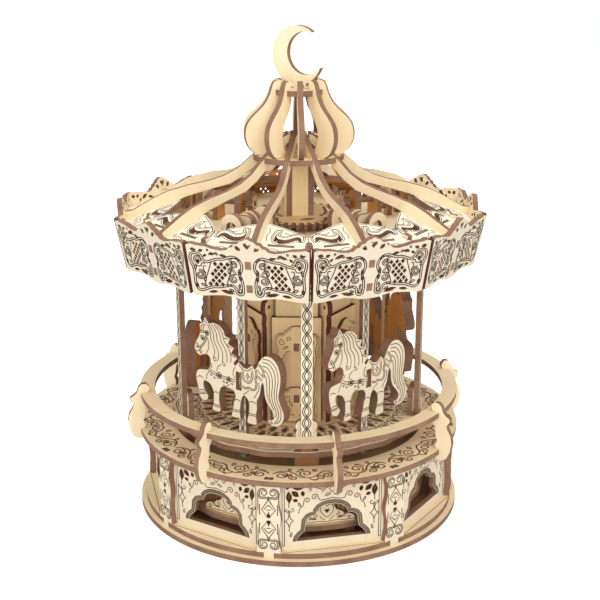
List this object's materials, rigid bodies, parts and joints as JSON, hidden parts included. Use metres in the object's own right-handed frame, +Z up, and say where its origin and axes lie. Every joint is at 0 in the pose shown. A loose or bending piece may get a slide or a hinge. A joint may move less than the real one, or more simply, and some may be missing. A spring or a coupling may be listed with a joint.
{
  "type": "carousel music box",
  "caption": "Laser-cut plywood carousel music box with lifting horses under a ten-sided canopy and an onion dome with a crescent.",
  "frame": {"origin": "centre of the underside of the bottom disc", "axes": "+Z up; -Y towards the viewer, +X to the viewer's right"},
  "size_m": [0.2242, 0.2306, 0.301],
  "materials": {
    "plywood_structure": "matte",
    "plywood_panel": "matte",
    "plywood_core": "matte",
    "steel": "satin",
    "brass": "satin"
  },
  "bodies": {
    "base": {"bottom_disc": "plywood_structure", "floor_disc": "plywood_structure", "wall_panels": "plywood_panel", "corner_posts": "plywood_panel", "gallery_ring": "plywood_structure", "rail_brackets": "plywood_structure", "handrail_1": "plywood_structure", "handrail_2": "plywood_structure", "handrail_3": "plywood_structure", "handrail_4": "plywood_structure", "backdrop_wall": "plywood_core", "scene_plates": "plywood_core", "inner_deck": "plywood_core", "spindle": "steel", "crown_gear": "plywood_structure", "column_box": "plywood_core", "movement_bedplate": "brass", "music_comb": "steel"},
    "winding_key": {"winding_key": "steel"},
    "drive": {"spring_barrel": "brass", "drive_pinion": "brass"},
    "cylinder": {"music_cylinder": "brass"},
    "governor": {"governor": "brass"},
    "carousel": {"platform": "plywood_panel", "hub_gear": "plywood_core", "tower_panels": "plywood_core", "tower_fins": "plywood_core", "door_frames": "plywood_core", "upper_tower": "plywood_core", "mech_floor": "plywood_core", "bearing_arches": "plywood_structure", "seam_brackets": "plywood_structure", "deck_plates": "plywood_panel", "fascia_panels": "plywood_panel", "roof_ribs": "plywood_structure", "dome_lower_ring": "plywood_structure", "dome_ribs": "plywood_structure", "dome_upper_ring": "plywood_structure", "crescent": "plywood_structure", "outer_post_1": "plywood_panel", "outer_post_2": "plywood_panel", "outer_post_3": "plywood_panel", "outer_post_4": "plywood_panel", "outer_post_5": "plywood_panel"},
    "rider_1": {"horse_1": "plywood_panel", "horse_pole_1": "plywood_panel"},
    "lift_shaft_1": {"lift_shaft_1": "plywood_structure"},
    "rider_2": {"horse_2": "plywood_panel", "horse_pole_2": "plywood_panel"},
    "lift_shaft_2": {"lift_shaft_2": "plywood_structure"},
    "rider_3": {"horse_3": "plywood_panel", "horse_pole_3": "plywood_panel"},
    "lift_shaft_3": {"lift_shaft_3": "plywood_structure"},
    "rider_4": {"horse_4": "plywood_panel", "horse_pole_4": "plywood_panel"},
    "lift_shaft_4": {"lift_shaft_4": "plywood_structure"},
    "rider_5": {"horse_5": "plywood_panel", "horse_pole_5": "plywood_panel"},
    "lift_shaft_5": {"lift_shaft_5": "plywood_structure"}
  },
  "joints": [
    {"name": "carousel_spin", "type": "hinge", "parent": "base", "child": "carousel", "pos_m": [0, 0, 0.0624], "axis": [0, 0, 1], "continuous": true},
    {"name": "key_turn", "type": "hinge", "parent": "base", "child": "winding_key", "pos_m": [0, 0.038, 0.01], "axis": [0, 0, 1], "continuous": true},
    {"name": "barrel_turn", "type": "hinge", "parent": "base", "child": "drive", "pos_m": [0, 0.038, 0.03], "axis": [0, 0, 1], "continuous": true},
    {"name": "cylinder_turn", "type": "hinge", "parent": "base", "child": "cylinder", "pos_m": [-0.026, 0.038, 0.0313], "axis": [1, 0, 0], "continuous": true},
    {"name": "governor_turn", "type": "hinge", "parent": "base", "child": "governor", "pos_m": [-0.04, 0.028, 0.03], "axis": [0, 0, 1], "continuous": true},
    {"name": "lift_shaft_1_spin", "type": "hinge", "parent": "carousel", "child": "lift_shaft_1", "pos_m": [-0.02149, -0.03374, 0.1921], "axis": [-0.5373, -0.8434, 0], "continuous": true},
    {"name": "horse_1_lift", "type": "slide", "parent": "carousel", "child": "rider_1", "axis": [0, 0, 1], "range_m": [-0.0035, 0.0035]},
    {"name": "lift_shaft_2_spin", "type": "hinge", "parent": "carousel", "child": "lift_shaft_2", "pos_m": [0.02544, -0.03086, 0.1921], "axis": [0.6361, -0.7716, 0], "continuous": true},
    {"name": "horse_2_lift", "type": "slide", "parent": "carousel", "child": "rider_2", "axis": [0, 0, 1], "range_m": [-0.0035, 0.0035]},
    {"name": "lift_shaft_3_spin", "type": "hinge", "parent": "carousel", "child": "lift_shaft_3", "pos_m": [0.03722, 0.01466, 0.1921], "axis": [0.9304, 0.3665, 0], "continuous": true},
    {"name": "horse_3_lift", "type": "slide", "parent": "carousel", "child": "rider_3", "axis": [0, 0, 1], "range_m": [-0.00665, 0.00035]},
    {"name": "lift_shaft_4_spin", "type": "hinge", "parent": "carousel", "child": "lift_shaft_4", "pos_m": [-0.00244, 0.03993, 0.1921], "axis": [-0.061, 0.9981, 0], "continuous": true},
    {"name": "horse_4_lift", "type": "slide", "parent": "carousel", "child": "rider_4", "axis": [0, 0, 1], "range_m": [-0.0014, 0.0056]},
    {"name": "lift_shaft_5_spin", "type": "hinge", "parent": "carousel", "child": "lift_shaft_5", "pos_m": [-0.03873, 0.01002, 0.1921], "axis": [-0.9681, 0.2504, 0], "continuous": true},
    {"name": "horse_5_lift", "type": "slide", "parent": "carousel", "child": "rider_5", "axis": [0, 0, 1], "range_m": [-0.00525, 0.00175]}
  ],
  "couplings": [
    {"joint": "barrel_turn", "follows": "carousel_spin", "ratio": -4},
    {"joint": "cylinder_turn", "follows": "carousel_spin", "ratio": 4},
    {"joint": "governor_turn", "follows": "carousel_spin", "ratio": 24},
    {"joint": "lift_shaft_1_spin", "follows": "carousel_spin", "ratio": -5},
    {"joint": "lift_shaft_2_spin", "follows": "carousel_spin", "ratio": -5},
    {"joint": "lift_shaft_3_spin", "follows": "carousel_spin", "ratio": -5},
    {"joint": "lift_shaft_4_spin", "follows": "carousel_spin", "ratio": -5},
    {"joint": "lift_shaft_5_spin", "follows": "carousel_spin", "ratio": -5}
  ]
}
